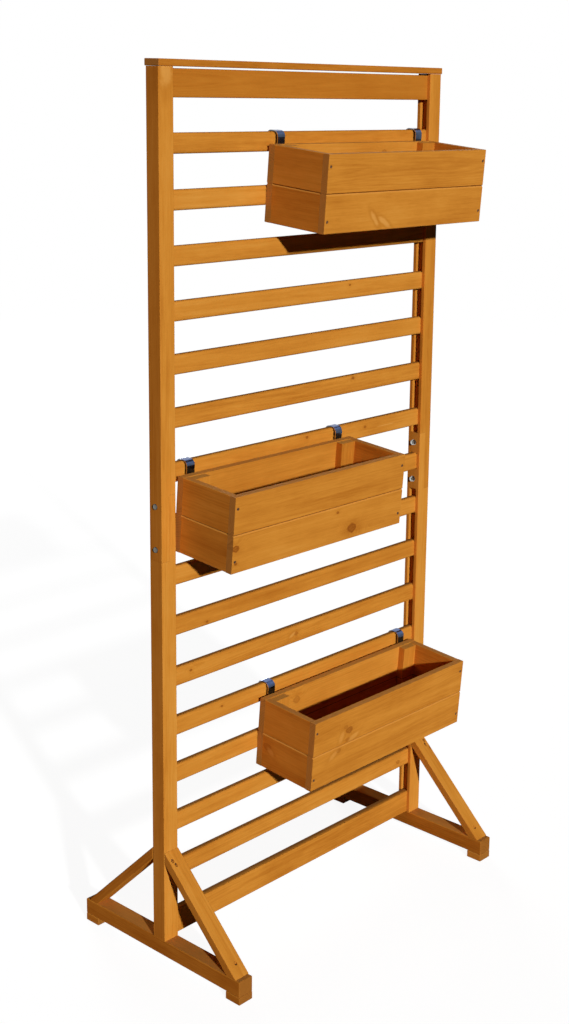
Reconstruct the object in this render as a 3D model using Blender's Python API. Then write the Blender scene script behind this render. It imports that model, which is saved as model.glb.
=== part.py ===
# Trellis planter: a standing slatted screen with three planter boxes that hang on its slats.
# Metres, +Z up. X runs along the slats, the boxes hang on the -Y side, and the floor is z = 0.
import math

import bmesh
import bpy
from mathutils import Matrix, Vector

# Fits
gap = 0.0003                 # between pieces that touch
cut_overrun = 0.002          # a cutter runs this far past the face that it cuts
join_overlap = 0.0005        # shapes joined into one piece run this far into each other
round_sides = 16             # sides of a turned piece
round_steps = 5              # steps in the rounding of a slat's edge

# The screen's outer sizes
total_height = 1.800
frame_width = 0.812

# Posts: square timber in two lengths each, joined by a half lap
post_width = 0.036           # along X
post_depth = 0.036           # along Y
post_edge = 0.0015           # rounding of the long edges
groove_depth = 0.010         # the groove in the inner face that the slats sit in
splice_length = 0.132

# Cap board and rails
cap_thickness = 0.013
cap_depth = 0.040
cap_overhang = 0.001
cap_edge = 0.001
rail_height = 0.0525
rail_edge = 0.002
rail_below_cap = 0.003       # the slit under the cap board

# Slats
slat_count = 15
slat_height = 0.0387
slat_thickness = 0.018
slat_round = 0.0055
first_slat_drop = 0.0632     # from the top rail's lower edge to the first slat's top
last_slat_rise = 0.0707      # from the bottom rail's top to the last slat's lower edge
# How far slats stand over or under their even places, as they do in their grooves
slat_shifts = {5: 0.0020, 6: 0.0020, 11: -0.0025, 12: -0.0025}

# Feet
foot_length = 0.468
beam_height = 0.0335
beam_edge = 0.0015
pad_length = 0.039
pad_height = 0.016
pad_edge = 0.001

# Braces: flat timber, mitred at both ends
brace_thickness = 0.0185
brace_reach = 0.206          # along the beam, from the post's face
brace_rise = 0.197           # up the post, from the beam's top
brace_edge = 0.001

# Splice bolts, which run along X
bolt_spacing = 0.086
bolt_radius = 0.003
bolt_head_radius = 0.006
bolt_head_height = 0.0034
bolt_end = 0.003             # what stands out of the nut
dome_steps = 4
nut_across_flats = 0.010
nut_thickness = 0.005
washer_radius = 0.0065
washer_thickness = 0.0012

# Wood screws with countersunk heads
screw_radius = 0.0015
screw_head_radius = 0.0029
screw_head_height = 0.0018
screw_sink = 0.0004          # the head lies this far under the wood's face
brace_screw_length = 0.024
# From a brace's tip along its face, and outwards from the post's middle
brace_post_screws = [(0.0215, 0.0100), (0.0315, 0.0070)]
brace_beam_screws = [(0.030, -0.002)]
foot_screw_length = 0.070
foot_screw_spacing = 0.020

# Planter boxes
box_length = 0.490
box_depth = 0.160
box_height = 0.1525
box_tilt = math.radians(4.5)
box_drop = 0.0232            # from its slat's top down to the box's back rim
board_thickness = 0.0155
board_edge = 0.001
joint_chamfer = 0.0020       # the V between two boards of a wall
tongue_width = 0.005
tongue_height = 0.005
box_screw_length = 0.035
box_screw_inset = 0.0075     # from the box's end
box_screw_low = 0.0235       # the screws' distance from the box's rim and from its lower edge
floor_thickness = 0.010
floor_inset = 0.004          # from the walls' lower edge up to the floor's underside
drain_radius = 0.005
drain_count = 5
drain_pitch = 0.090
floor_screw_length = 0.030
batten_width = 0.040         # along X
batten_depth = 0.016         # along Y
batten_below_rim = 0.001     # the battens in the back corners
front_block_height = 0.045   # the blocks in the front corners, which stand on the floor

# Hooks: flat bent straps
hook_width = 0.020
hook_thickness = 0.002
hook_bend = 0.010            # inner radius of its two bends
hook_bend_steps = 8
hook_inset = 0.033           # from the box's end to the strap's middle
hook_leg = 0.046             # down the box's back from its rim
hook_tail = 0.022            # down behind the slat
hook_tail_clear = 0.0015     # between the tail and the slat
hook_screw_first = 0.014     # below the rim
hook_screw_spacing = 0.020
hook_screw_length = 0.012

# Where each box hangs: its name, the number of its slat, the side that it hangs to (1 is right)
# and how far its end is from that side's post
boxes = [
    ("upper_planter", 1, 1, 0.004),
    ("middle_planter", 7, -1, 0.005),
    ("lower_planter", 12, 1, 0.018),
]

# Heights that follow from the sizes above
beam_bottom = pad_height + gap
beam_top = beam_bottom + beam_height
post_bottom = beam_top + gap
post_top = total_height - cap_thickness - gap
top_rail_top = post_top - rail_below_cap
top_rail_bottom = top_rail_top - rail_height
bottom_rail_top = post_bottom + rail_height
first_slat_top = top_rail_bottom - first_slat_drop
last_slat_top = bottom_rail_top + last_slat_rise + slat_height
slat_pitch = (first_slat_top - last_slat_top) / (slat_count - 1)
middle_slat = slat_count // 2
middle_slat_top = first_slat_top - slat_pitch * middle_slat
splice_middle = middle_slat_top - slat_height / 2
splice_bottom = splice_middle - splice_length / 2
splice_top = splice_middle + splice_length / 2

# Places across the screen
outer_face = frame_width / 2
inner_face = outer_face - post_width
post_middle = outer_face - post_width / 2
slat_half_length = inner_face + groove_depth - gap
groove_half_width = slat_thickness / 2 + gap
joint_below_rim = box_height / 2

# Colours: base colour, roughness and metallic value
pine_front = ((0.62, 0.30, 0.075), 0.55, 0.0)
pine_side = ((0.50, 0.22, 0.055), 0.58, 0.0)
pine_dark = ((0.40, 0.17, 0.045), 0.60, 0.0)
steel = ((0.45, 0.45, 0.44), 0.35, 1.0)
chrome = ((0.75, 0.76, 0.78), 0.12, 1.0)


def remove_old_objects():
    for old in list(bpy.data.objects):
        bpy.data.objects.remove(old)


def make_material(name, finish):
    colour, roughness, metallic = finish
    material = bpy.data.materials.new(name)
    material.use_nodes = True
    shader = material.node_tree.nodes["Principled BSDF"]
    shader.inputs["Base Color"].default_value = (*colour, 1.0)
    shader.inputs["Roughness"].default_value = roughness
    shader.inputs["Metallic"].default_value = metallic
    return material


def link_mesh(name, bm):
    bmesh.ops.recalc_face_normals(bm, faces=bm.faces)
    mesh = bpy.data.meshes.new(name)
    bm.to_mesh(mesh)
    bm.free()
    item = bpy.data.objects.new(name, mesh)
    bpy.context.scene.collection.objects.link(item)
    return item


def make_piece(name, bm, finish, parent=None):
    piece = link_mesh(name, bm)
    piece.data.materials.append(make_material(name + "_finish", finish))
    piece.parent = parent
    return piece


def combine(piece, name, bm, operation):
    helper = link_mesh(name, bm)
    helper.parent = piece.parent
    helper.hide_render = True
    helper.display_type = "WIRE"
    modifier = piece.modifiers.new(name, "BOOLEAN")
    modifier.operation = operation
    modifier.solver = "EXACT"
    modifier.object = helper


def cut(piece, name, bm):
    combine(piece, name, bm, "DIFFERENCE")


def join(piece, name, bm):
    combine(piece, name, bm, "UNION")


def add_box(bm, low, high, edge=0.0, steps=1, along=None):
    # Adds a box, with its long edges along one axis rounded when edge is given
    low, high = Vector(low), Vector(high)
    size = high - low
    place = Matrix.Translation((low + high) / 2) @ Matrix.Diagonal((*size, 1.0))
    corners = bmesh.ops.create_cube(bm, size=1.0, matrix=place)["verts"]
    if edge:
        edges = {line for corner in corners for line in corner.link_edges}
        if along is not None:
            edges = {line for line in edges if runs_along(line, along)}
        bmesh.ops.bevel(bm, geom=list(edges), offset=edge, segments=steps, profile=0.5,
                        affect="EDGES")


def runs_along(line, axis):
    direction = line.verts[1].co - line.verts[0].co
    return abs(direction[axis]) > abs(direction[(axis + 1) % 3]) + abs(direction[(axis + 2) % 3])


def add_prism(bm, outline, start, end, place):
    # Extrudes a closed outline from start to end. place turns (a, b, along) into a position
    corners = [bm.verts.new(place(a, b, start)) for a, b in outline]
    face = bm.faces.new(corners)
    moved = bmesh.ops.extrude_face_region(bm, geom=[face])["geom"]
    top = [item for item in moved if isinstance(item, bmesh.types.BMVert)]
    step = Vector(place(0.0, 0.0, end)) - Vector(place(0.0, 0.0, start))
    bmesh.ops.translate(bm, verts=top, vec=step)


def add_turned(bm, profile, origin, direction, sides=round_sides, turn=0.0):
    # Adds a turned solid. profile lists (radius, distance along direction) from end to end
    facing = Vector(direction).to_track_quat("Z", "Y").to_matrix().to_4x4()
    place = Matrix.Translation(origin) @ facing @ Matrix.Rotation(turn, 4, "Z")
    radius, distance = profile[0]
    at_start = place @ Matrix.Translation((0.0, 0.0, distance))
    ring = bmesh.ops.create_circle(bm, cap_ends=True, radius=radius, segments=sides,
                                   matrix=at_start)["verts"]
    face = ring[0].link_faces[0]
    for step, (next_radius, next_distance) in enumerate(profile[1:]):
        moved = bmesh.ops.extrude_face_region(bm, geom=[face])["geom"]
        if step:
            bmesh.ops.delete(bm, geom=[face], context="FACES_ONLY")
        ring = [item for item in moved if isinstance(item, bmesh.types.BMVert)]
        face = [item for item in moved if isinstance(item, bmesh.types.BMFace)][0]
        at_ring = place @ Matrix.Translation((0.0, 0.0, distance))
        share = next_radius / radius
        bmesh.ops.scale(bm, verts=ring, vec=(share, share, share), space=at_ring.inverted())
        travel = place.to_3x3() @ Vector((0.0, 0.0, next_distance - distance))
        bmesh.ops.translate(bm, verts=ring, vec=travel)
        radius, distance = next_radius, next_distance


def countersunk_hole_profile(length, pocket):
    head_end = screw_sink + screw_head_height
    return [
        (screw_head_radius + gap, -cut_overrun - pocket),
        (screw_head_radius + gap, screw_sink + gap),
        (screw_radius + gap, head_end + gap),
        (screw_radius + gap, length + gap),
    ]


def mirrored(point, side):
    return (point[0] * side, point[1], point[2])


def across_x(y, z, along):
    return (along, y, z)


# Screw holes are listed as the head's place, the way that it points, its length and the depth of the
# pocket that its head lies in, which is zero where the wood's face is square to the screw.

def brace_line(front):
    # The tip at the post, the tip on the beam and the way from one to the other, in Y and Z
    at_post = Vector((front * (post_depth / 2 + gap), beam_top + gap + brace_rise))
    at_beam = Vector((front * (post_depth / 2 + gap + brace_reach), beam_top + gap))
    return at_post, at_beam, (at_beam - at_post).normalized()


def brace_screws(side, front):
    # The upper ones run level into the post, the lower ones straight down into the beam
    at_post, at_beam, slope = brace_line(front)
    steepness = abs(slope.y / slope.x)
    found = []
    for back, outwards in brace_post_screws:
        pocket = screw_head_radius / steepness
        spot = at_post + slope * back - Vector((front * pocket, 0.0))
        head = (side * (post_middle + outwards), spot.x, spot.y)
        found.append((head, (0.0, -front, 0.0), brace_screw_length, 2 * pocket))
    for back, outwards in brace_beam_screws:
        pocket = screw_head_radius * steepness
        spot = at_beam - slope * back - Vector((0.0, pocket))
        head = (side * (post_middle + outwards), spot.x, spot.y)
        found.append((head, (0.0, 0.0, -1.0), brace_screw_length, 2 * pocket))
    return found


def foot_screws(side):
    found = []
    for y in (-foot_screw_spacing / 2, foot_screw_spacing / 2):
        found.append(((side * post_middle, y, beam_bottom), (0.0, 0.0, 1.0), foot_screw_length, 0.0))
    return found


def frame_screws_at(side):
    return brace_screws(side, -1) + brace_screws(side, 1) + foot_screws(side)


def bolt_heights():
    return (splice_middle - bolt_spacing / 2, splice_middle + bolt_spacing / 2)


def add_screw_holes(bm, screws):
    for head, direction, length, pocket in screws:
        add_turned(bm, countersunk_hole_profile(length, pocket), head, direction)


# The screen

def add_side_box(bm, side, low, high, **rounding):
    # Adds a box given for the right-hand side (side 1) or its mirror image (side -1)
    first, second = mirrored(low, side), mirrored(high, side)
    add_box(bm, [min(a, b) for a, b in zip(first, second)],
            [max(a, b) for a, b in zip(first, second)], **rounding)


def make_post(side, name, upper):
    # Makes half of a post. The upper half keeps the outer part of the lap, the lower the inner
    half_depth = post_depth / 2
    low_end = splice_bottom + gap if upper else post_bottom
    high_end = post_top if upper else splice_top
    bm = bmesh.new()
    add_side_box(bm, side, (inner_face, -half_depth, low_end), (outer_face, half_depth, high_end),
                 edge=post_edge, along=2)
    post = make_piece(name, bm, pine_front)

    lap = bmesh.new()
    if upper:
        low = (inner_face - cut_overrun, -half_depth - cut_overrun, low_end - cut_overrun)
        high = (post_middle + gap / 2, half_depth + cut_overrun, splice_top + gap)
    else:
        low = (post_middle - gap / 2, -half_depth - cut_overrun, splice_bottom)
        high = (outer_face + cut_overrun, half_depth + cut_overrun, high_end + cut_overrun)
    add_side_box(lap, side, low, high)
    cut(post, name + "_lap_cutter", lap)

    groove = bmesh.new()
    groove_low = splice_top if upper else low_end - cut_overrun
    groove_high = high_end + cut_overrun if upper else splice_bottom
    add_side_box(groove, side, (inner_face - cut_overrun, -groove_half_width, groove_low),
                 (inner_face + groove_depth, groove_half_width, groove_high))
    cut(post, name + "_groove_cutter", groove)

    holes = bmesh.new()
    for height in bolt_heights():
        through = post_width + 2 * cut_overrun
        add_turned(holes, [(bolt_radius + gap, 0.0), (bolt_radius + gap, through)],
                   (side * (outer_face + cut_overrun), 0.0, height), (-side, 0.0, 0.0))
    if not upper:
        add_side_box(holes, side,
                     (inner_face - cut_overrun, -groove_half_width,
                      splice_middle - slat_height / 2 - gap),
                     (inner_face + groove_depth, groove_half_width,
                      splice_middle + slat_height / 2 + gap))
        add_screw_holes(holes, frame_screws_at(side))
    cut(post, name + "_hole_cutter", holes)


def make_cap():
    bm = bmesh.new()
    half_length, half_depth = outer_face + cap_overhang, cap_depth / 2
    add_box(bm, (-half_length, -half_depth, total_height - cap_thickness),
            (half_length, half_depth, total_height), edge=cap_edge)
    make_piece("top_cap", bm, pine_dark)


def make_crosspiece(name, top, height, edge, steps, finish):
    half = slat_thickness / 2
    bm = bmesh.new()
    add_box(bm, (-slat_half_length, -half, top - height), (slat_half_length, half, top),
            edge=edge, steps=steps, along=0)
    make_piece(name, bm, finish)


def slat_top(number):
    return first_slat_top - slat_pitch * (number - 1) + slat_shifts.get(number, 0.0)


def make_rails_and_slats():
    make_crosspiece("top_rail", top_rail_top, rail_height, rail_edge, 2, pine_side)
    make_crosspiece("bottom_rail", bottom_rail_top, rail_height, rail_edge, 2, pine_side)
    for number in range(1, slat_count + 1):
        make_crosspiece(f"slat_{number:02d}", slat_top(number), slat_height, slat_round,
                        round_steps, pine_front)


def make_foot(side, word):
    half_length = foot_length / 2
    bm = bmesh.new()
    add_side_box(bm, side, (inner_face, -half_length, beam_bottom),
                 (outer_face, half_length, beam_top), edge=beam_edge)
    beam = make_piece(word + "_foot_beam", bm, pine_side)
    holes = bmesh.new()
    add_screw_holes(holes, frame_screws_at(side))
    cut(beam, word + "_foot_beam_hole_cutter", holes)

    for front, place in ((-1, "front"), (1, "rear")):
        near, far = front * (half_length - pad_length), front * half_length
        pad = bmesh.new()
        add_side_box(pad, side, (inner_face, min(near, far), 0.0),
                     (outer_face, max(near, far), pad_height), edge=pad_edge)
        make_piece(f"{word}_{place}_foot_pad", pad, pine_dark)


def make_brace(side, front, name):
    at_post, at_beam, slope = brace_line(front)
    # The mitred ends lie flat on the post and on the beam
    lower_at_post = at_post - Vector((0.0, brace_thickness / abs(slope.x)))
    lower_at_beam = at_beam - Vector((front * brace_thickness / abs(slope.y), 0.0))
    outline = [tuple(point) for point in (at_post, at_beam, lower_at_beam, lower_at_post)]
    bm = bmesh.new()
    add_prism(bm, outline, side * inner_face, side * outer_face, across_x)
    bmesh.ops.bevel(bm, geom=list(bm.edges), offset=brace_edge, segments=1, affect="EDGES")
    brace = make_piece(name, bm, pine_front)
    holes = bmesh.new()
    add_screw_holes(holes, brace_screws(side, front))
    cut(brace, name + "_hole_cutter", holes)


def dome_profile():
    # The head's dome, from its crown to its rim, as a quarter of an ellipse
    points = []
    for step in range(dome_steps):
        angle = math.pi / 2 * (1 - (step + 1) / dome_steps)
        points.append((bolt_head_radius * math.cos(angle), -bolt_head_height * math.sin(angle)))
    return points


def make_bolt(side, height, name):
    # A bolt with its washer and nut, which are one piece once they are tightened
    face, inwards = (side * outer_face, 0.0, height), (-side, 0.0, 0.0)
    washer_start = post_width + gap
    washer_end = washer_start + washer_thickness
    nut_end = washer_end + nut_thickness
    profile = [(radius, distance - gap) for radius, distance in dome_profile()]
    profile += [(bolt_radius, -gap), (bolt_radius, washer_start), (washer_radius, washer_start),
                (washer_radius, washer_end), (bolt_radius, washer_end),
                (bolt_radius, nut_end + bolt_end)]
    bm = bmesh.new()
    add_turned(bm, profile, face, inwards)
    bolt = make_piece(name, bm, steel)
    nut = bmesh.new()
    nut_radius = nut_across_flats / 2 / math.cos(math.pi / 6)
    ends = [(nut_radius, washer_end - join_overlap), (nut_radius, nut_end)]
    add_turned(nut, ends, face, inwards, sides=6)
    join(bolt, name + "_nut", nut)


def make_screen():
    for side, word in ((-1, "left"), (1, "right")):
        make_post(side, word + "_post_lower", upper=False)
        make_post(side, word + "_post_upper", upper=True)
        make_foot(side, word)
        make_brace(side, -1, word + "_front_brace")
        make_brace(side, 1, word + "_rear_brace")
    make_cap()
    make_rails_and_slats()
    for side, word in ((-1, "left"), (1, "right")):
        for height, place in zip(bolt_heights(), ("lower", "upper")):
            make_bolt(side, height, f"{word}_{place}_splice_bolt")


# Planter boxes. Each is built in its own frame, whose origin is the middle of the box's back rim:
# x runs along the box, y is back towards the slats and z is up the box's back.

def box_rim(number):
    # Returns the world Y and Z of the box's back rim. The back leans on the lower edge of the
    # lowest slat that it passes, and the box's own lower edge also stays in front of the slats
    sine, cosine = math.sin(box_tilt), math.cos(box_tilt)
    foot_drop = box_drop + box_height * cosine
    passed = int((foot_drop - slat_height) / slat_pitch)
    corner_y = -slat_thickness / 2 + slat_round
    lower_edge = slat_top(number + passed) - slat_height
    corner_z = lower_edge + slat_round - slat_top(number) + box_drop
    rim_y = (corner_y * cosine + corner_z * sine - slat_round - gap) / cosine
    if foot_drop > (passed + 1) * slat_pitch:
        rim_y = min(rim_y, -slat_thickness / 2 - gap - box_height * sine)
    return rim_y, slat_top(number) - box_drop


def hook_place(number):
    # Returns the strap's inner height over the rim and its tail's inner distance from the back.
    # The strap rests on the slat's front edge, or its rear bend rests on the slat's rear edge
    rim_y, rim_height = box_rim(number)
    sine, cosine = math.sin(box_tilt), math.cos(box_tilt)
    corner_z = slat_top(number) - slat_round - rim_height
    front_y = -slat_thickness / 2 + slat_round - rim_y
    rear_y = slat_thickness / 2 - slat_round - rim_y
    on_front_edge = -front_y * sine + corner_z * cosine + slat_round + gap
    reach = max(hook_bend - slat_round - gap, 0.0)
    across = max(hook_bend - slat_round - hook_tail_clear, 0.0)
    rise = math.sqrt(max(reach ** 2 - across ** 2, 0.0))
    on_rear_edge = -rear_y * sine + corner_z * cosine - rise + hook_bend
    tail_inner = rear_y * cosine + corner_z * sine + slat_round + hook_tail_clear
    return max(on_front_edge, on_rear_edge), tail_inner


def corner_arc(centre_y, centre_z, radius, start, end):
    # Returns the points of an arc between two angles in degrees
    points = []
    for step in range(hook_bend_steps + 1):
        angle = math.radians(start + (end - start) * step / hook_bend_steps)
        points.append((centre_y + radius * math.cos(angle), centre_z + radius * math.sin(angle)))
    return points


def hook_outline(number):
    under_side, tail_inner = hook_place(number)
    over_side = under_side + hook_thickness
    leg_front, leg_back = gap, gap + hook_thickness
    tail_outer = tail_inner + hook_thickness
    outer_bend = hook_bend + hook_thickness
    tail_end = under_side - hook_tail
    outer = [(leg_front, -hook_leg)]
    outer += corner_arc(leg_front + outer_bend, over_side - outer_bend, outer_bend, 180, 90)
    outer += corner_arc(tail_outer - outer_bend, over_side - outer_bend, outer_bend, 90, 0)
    inner = corner_arc(tail_inner - hook_bend, under_side - hook_bend, hook_bend, 0, 90)
    inner += corner_arc(leg_back + hook_bend, under_side - hook_bend, hook_bend, 90, 180)
    return outer + [(tail_outer, tail_end), (tail_inner, tail_end)] + inner + [(leg_back, -hook_leg)]


# A wall's section is listed as (distance in from the wall's outer face, height over the rim)

def rim_corners():
    return [(0.0, -board_edge), (board_edge, 0.0), (board_thickness - board_edge, 0.0),
            (board_thickness, -board_edge)]


def foot_corners():
    low = -box_height
    return [(board_thickness, low + board_edge), (board_thickness - board_edge, low),
            (board_edge, low), (0.0, low + board_edge)]


def top_board_outline():
    middle, half, low = board_thickness / 2, tongue_width / 2 + gap, -joint_below_rim
    floor = low + tongue_height + gap
    bottom = [(board_thickness, low), (middle + half, low), (middle + half, floor),
              (middle - half, floor), (middle - half, low), (joint_chamfer, low),
              (0.0, low + joint_chamfer)]
    return rim_corners() + bottom


def bottom_board_outline():
    middle, half, high = board_thickness / 2, tongue_width / 2, -joint_below_rim - gap
    crest = high + tongue_height
    top = [(0.0, high - joint_chamfer), (joint_chamfer, high), (middle - half, high),
           (middle - half, crest), (middle + half, crest), (middle + half, high),
           (board_thickness, high)]
    return top + foot_corners()


def whole_wall_outline():
    # Both boards as one piece, with the V of their joint
    seam = -joint_below_rim
    notch = [(0.0, seam - joint_chamfer), (joint_chamfer, seam), (0.0, seam + joint_chamfer)]
    return rim_corners() + foot_corners() + notch


def front_wall(depth, height, along):
    return (along, -box_depth + depth, height)


def back_wall(depth, height, along):
    return (along, -depth, height)


def end_wall(side):
    def place(depth, height, along):
        return (side * (box_length / 2 - depth), along, height)
    return place


def wall_screws(sides, heights, faces):
    # Screws through the front or back boards into the ends of the end boards
    found = []
    for face in faces:
        spot_y = 0.0 if face > 0 else -box_depth
        for side in sides:
            for height in heights:
                head = (side * (box_length / 2 - box_screw_inset), spot_y, height)
                found.append((head, (0.0, -face, 0.0), box_screw_length, 0.0))
    return found


def batten_middles(side):
    across = box_length / 2 - board_thickness - batten_width / 2
    inset = board_thickness + gap + batten_depth / 2
    return [(side * across, -inset), (side * across, -box_depth + inset)]


def floor_screws(side):
    under = -box_height + floor_inset
    upwards = (0.0, 0.0, 1.0)
    return [((x, y, under), upwards, floor_screw_length, 0.0) for x, y in batten_middles(side)]


def hook_middles():
    across = box_length / 2 - hook_inset
    return (-across, across)


def add_hook_holes(bm, middles):
    hole = [(screw_radius + gap, -cut_overrun), (screw_radius + gap, hook_screw_length + gap)]
    for x in middles:
        for z in (-hook_screw_first, -hook_screw_first - hook_screw_spacing):
            add_turned(bm, hole, (x, gap + hook_thickness, z), (0.0, -1.0, 0.0))


def make_wall(name, parent, outline, ends, place, finish):
    bm = bmesh.new()
    add_prism(bm, outline, ends[0], ends[1], place)
    return make_piece(name, bm, finish, parent)


def cut_screws(wall, screws, hooks=()):
    holes = bmesh.new()
    add_screw_holes(holes, screws)
    add_hook_holes(holes, hooks)
    cut(wall, wall.name + "_hole_cutter", holes)


def make_box(name, number, towards, post_clearance):
    middle = towards * (inner_face - post_clearance - box_length / 2)
    rim_y, rim_height = box_rim(number)
    lift = bpy.data.objects.new(name + "_lift", None)
    bpy.context.scene.collection.objects.link(lift)
    lift.location = (middle, rim_y, rim_height)
    lift.rotation_euler = (box_tilt, 0.0, 0.0)

    both, length = (-1, 1), (-box_length / 2, box_length / 2)
    high_row, low_row = -box_screw_low, -box_height + box_screw_low
    top = make_wall(name + "_front_top_board", lift, top_board_outline(), length, front_wall,
                    pine_front)
    cut_screws(top, wall_screws(both, [high_row], [-1]))
    bottom = make_wall(name + "_front_bottom_board", lift, bottom_board_outline(), length,
                       front_wall, pine_front)
    cut_screws(bottom, wall_screws(both, [low_row], [-1]))
    back = make_wall(name + "_back_wall", lift, whole_wall_outline(), length, back_wall, pine_side)
    cut_screws(back, wall_screws(both, [high_row, low_row], [1]), hook_middles())

    inset = board_thickness + gap
    for side, word in ((-1, "left"), (1, "right")):
        end = make_wall(f"{name}_{word}_end_wall", lift, whole_wall_outline(),
                        (-inset, -box_depth + inset), end_wall(side), pine_dark)
        join_battens(end, side)
        cut_screws(end, wall_screws([side], [high_row, low_row], both) + floor_screws(side))
        make_hook(f"{name}_{word}_hook", number, side, lift)
    make_floor(name, lift)


def join_battens(end, side):
    # The back corner's batten and the front corner's block are glued to the end wall
    low = -box_height + floor_inset + floor_thickness + gap
    battens = bmesh.new()
    for (x, y), high in zip(batten_middles(side), (-batten_below_rim, low + front_block_height)):
        reach = x + side * (batten_width / 2 + join_overlap)
        near = x - side * batten_width / 2
        add_box(battens, (min(near, reach), y - batten_depth / 2, low),
                (max(near, reach), y + batten_depth / 2, high))
    join(end, end.name + "_battens", battens)


def make_floor(name, lift):
    half_length = box_length / 2 - board_thickness - gap
    near, far = -board_thickness - gap, -box_depth + board_thickness + gap
    under = -box_height + floor_inset
    bm = bmesh.new()
    add_box(bm, (-half_length, far, under), (half_length, near, under + floor_thickness))
    floor = make_piece(name + "_floor", bm, pine_dark, lift)
    holes = bmesh.new()
    add_screw_holes(holes, floor_screws(-1) + floor_screws(1))
    drain = [(drain_radius, -cut_overrun), (drain_radius, floor_thickness + cut_overrun)]
    for number in range(drain_count):
        x = (number - (drain_count - 1) / 2) * drain_pitch
        add_turned(holes, drain, (x, (near + far) / 2, under), (0.0, 0.0, 1.0))
    cut(floor, name + "_floor_hole_cutter", holes)


def make_hook(name, number, side, lift):
    middle = hook_middles()[0 if side < 0 else 1]
    bm = bmesh.new()
    add_prism(bm, hook_outline(number), middle - hook_width / 2, middle + hook_width / 2, across_x)
    hook = make_piece(name, bm, chrome, lift)
    holes = bmesh.new()
    add_hook_holes(holes, [middle])
    cut(hook, name + "_hole_cutter", holes)


def main():
    remove_old_objects()
    make_screen()
    for name, number, towards, post_clearance in boxes:
        make_box(name, number, towards, post_clearance)


main()
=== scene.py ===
import math
import random

import bmesh
import bpy
from mathutils import Matrix, Vector


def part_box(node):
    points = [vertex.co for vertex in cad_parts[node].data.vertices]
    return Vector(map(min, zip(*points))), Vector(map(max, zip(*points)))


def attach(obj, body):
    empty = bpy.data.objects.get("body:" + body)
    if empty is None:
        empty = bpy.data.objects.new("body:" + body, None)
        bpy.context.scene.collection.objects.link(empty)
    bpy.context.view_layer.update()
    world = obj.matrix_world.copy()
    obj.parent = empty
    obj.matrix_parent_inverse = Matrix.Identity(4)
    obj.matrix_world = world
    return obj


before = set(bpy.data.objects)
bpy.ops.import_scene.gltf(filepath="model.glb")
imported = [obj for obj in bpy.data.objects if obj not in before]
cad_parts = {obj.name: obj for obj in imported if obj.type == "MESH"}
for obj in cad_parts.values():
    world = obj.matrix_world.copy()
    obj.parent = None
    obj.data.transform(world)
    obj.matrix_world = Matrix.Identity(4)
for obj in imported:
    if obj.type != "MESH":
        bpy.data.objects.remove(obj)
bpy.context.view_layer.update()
print("frame loaded:", len(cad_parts), "CAD nodes")

# Places on the object that more than one step below needs, in metres
planterTilt = math.radians(4.5)
planters = {  # each box's back rim: its middle along the slat, its Y and its height
    "upper_planter": (0.121, -0.018290, 1.6448),
    "middle_planter": (-0.120, -0.018290, 1.0208),
    "lower_planter": (0.107, -0.018093, 0.4983),
}
planterSize = {"length": 0.490, "depth": 0.160, "height": 0.1525, "board": 0.0155,
               "battenStart": 0.0001}  # inwards from the inner face of an end wall
frameSize = {"outer": 0.406, "inner": 0.370, "halfDepth": 0.018, "beamTop": 0.0498}
braceSpan = {"out": 0.206, "up": 0.197}
fitGap = 0.0003  # between pieces that touch


# Node helpers

def plug(tree, socket, value):
    if isinstance(value, bpy.types.NodeSocket):
        tree.links.new(value, socket)
    elif hasattr(value, "outputs"):
        tree.links.new(value.outputs[0], socket)
    else:
        socket.default_value = value


def addNode(tree, kind, settings=None, **inputs):
    # The inputs are named as on the node, with _ for a space
    node = tree.nodes.new("ShaderNode" + kind)
    for key, value in (settings or {}).items():
        setattr(node, key, value)
    for key, value in inputs.items():
        plug(tree, node.inputs[key.replace("_", " ")], value)
    return node


def calc(tree, operation, *values, clamp=False):
    node = addNode(tree, "Math", {"operation": operation, "use_clamp": clamp})
    for socket, value in zip(node.inputs, values):
        plug(tree, socket, value)
    return node.outputs[0]


def vectorCalc(tree, operation, *values):
    node = addNode(tree, "VectorMath", {"operation": operation})
    for socket, value in zip(node.inputs, values):
        plug(tree, socket, value)
    return node.outputs["Value"] if operation in ("LENGTH", "DOT_PRODUCT") else node.outputs[0]


def scaleVector(tree, vector, factor):
    node = addNode(tree, "VectorMath", {"operation": "SCALE"}, Vector=vector, Scale=factor)
    return node.outputs[0]


def ramp(tree, value, low, high, start=0.0, end=1.0):
    # A smooth step of value from low to high
    node = addNode(tree, "MapRange", {"interpolation_type": "SMOOTHSTEP", "clamp": True},
                   Value=value, From_Min=low, From_Max=high, To_Min=start, To_Max=end)
    return node.outputs[0]


def bandMask(tree, value, low, high, soft):
    rise = ramp(tree, value, low - soft, low)
    return calc(tree, "MULTIPLY", rise, ramp(tree, value, high, high + soft, 1.0, 0.0))


def noise(tree, vector, stretch, detail=2.0, rough=0.5):
    spread = vectorCalc(tree, "MULTIPLY", vector, stretch)
    node = addNode(tree, "TexNoise", Vector=spread, Scale=1.0, Detail=detail, Roughness=rough)
    return node.outputs["Fac"]


def swing(tree, vector, stretch, detail=2.0):
    # Noise to both sides of zero
    return calc(tree, "SUBTRACT", noise(tree, vector, stretch, detail), 0.5)


def blendColours(tree, share, first, second, mode="MIX"):
    node = addNode(tree, "Mix", {"data_type": "RGBA", "blend_type": mode})
    for number, value in ((0, share), (6, first), (7, second)):  # the sockets of its colour kind
        plug(tree, node.inputs[number], value)
    return node.outputs[2]


def blendVectors(tree, share, first, second):
    node = addNode(tree, "Mix", {"data_type": "VECTOR"})
    for number, value in ((0, share), (4, first), (5, second)):  # the sockets of its vector kind
        plug(tree, node.inputs[number], value)
    return node.outputs[1]


def newMaterial(name):
    material = bpy.data.materials.new(name)
    material.use_nodes = True
    return material, material.node_tree, material.node_tree.nodes["Principled BSDF"]


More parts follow.
